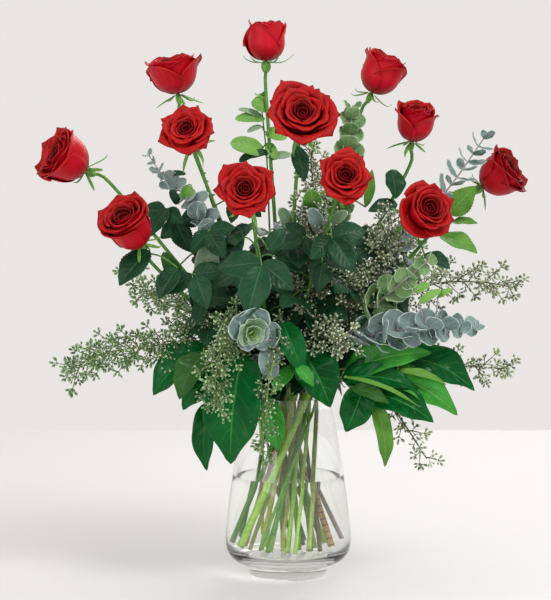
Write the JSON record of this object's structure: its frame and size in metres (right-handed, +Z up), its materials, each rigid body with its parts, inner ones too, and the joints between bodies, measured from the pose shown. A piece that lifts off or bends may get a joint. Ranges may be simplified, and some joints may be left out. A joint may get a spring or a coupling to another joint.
{
  "type": "roses in a glass vase",
  "caption": "Free-standing arrangement of long-stemmed red roses with eucalyptus and glossy leaves, in water in a clear glass vase with a low shoulder and a short foot.",
  "frame": {"origin": "centre of the vase's foot, on the surface that it stands on", "axes": "+Z up along the vase's axis, -Y towards the front of the arrangement, +X to the right of it"},
  "size_m": [0.5631, 0.289, 0.6293],
  "materials": {
    "petal": "satin",
    "rose_stem": "satin",
    "glossy_leaf": "gloss",
    "blue_leaf": "matte",
    "green_leaf": "satin",
    "seeded": "satin",
    "glass": "polished",
    "water": "polished"
  },
  "bodies": {
    "root": {"leaf_branch_left": "glossy_leaf", "leaf_branch_centre": "glossy_leaf", "leaf_branch_right": "glossy_leaf", "leaf_branch_back": "glossy_leaf", "rose_bloom_1": "petal", "rose_stem_1": "rose_stem", "rose_bloom_2": "petal", "rose_stem_2": "rose_stem", "rose_bloom_3": "petal", "rose_stem_3": "rose_stem", "rose_bloom_4": "petal", "rose_stem_4": "rose_stem", "rose_bloom_5": "petal", "rose_stem_5": "rose_stem", "rose_bloom_6": "petal", "rose_stem_6": "rose_stem", "rose_bloom_7": "petal", "rose_stem_7": "rose_stem", "rose_bloom_8": "petal", "rose_stem_8": "rose_stem", "rose_bloom_9": "petal", "rose_stem_9": "rose_stem", "rose_bloom_10": "petal", "rose_stem_10": "rose_stem", "rose_bloom_11": "petal", "rose_stem_11": "rose_stem", "rose_bloom_12": "petal", "rose_stem_12": "rose_stem", "eucalyptus_left": "blue_leaf", "eucalyptus_top": "green_leaf", "eucalyptus_right": "green_leaf", "eucalyptus_low": "blue_leaf", "eucalyptus_front": "blue_leaf", "eucalyptus_back": "blue_leaf", "seeded_left": "seeded", "seeded_front": "seeded", "seeded_centre": "seeded", "seeded_right": "seeded", "seeded_low": "seeded", "seeded_back": "seeded", "vase": "glass", "water": "water"}
  },
  "joints": []
}
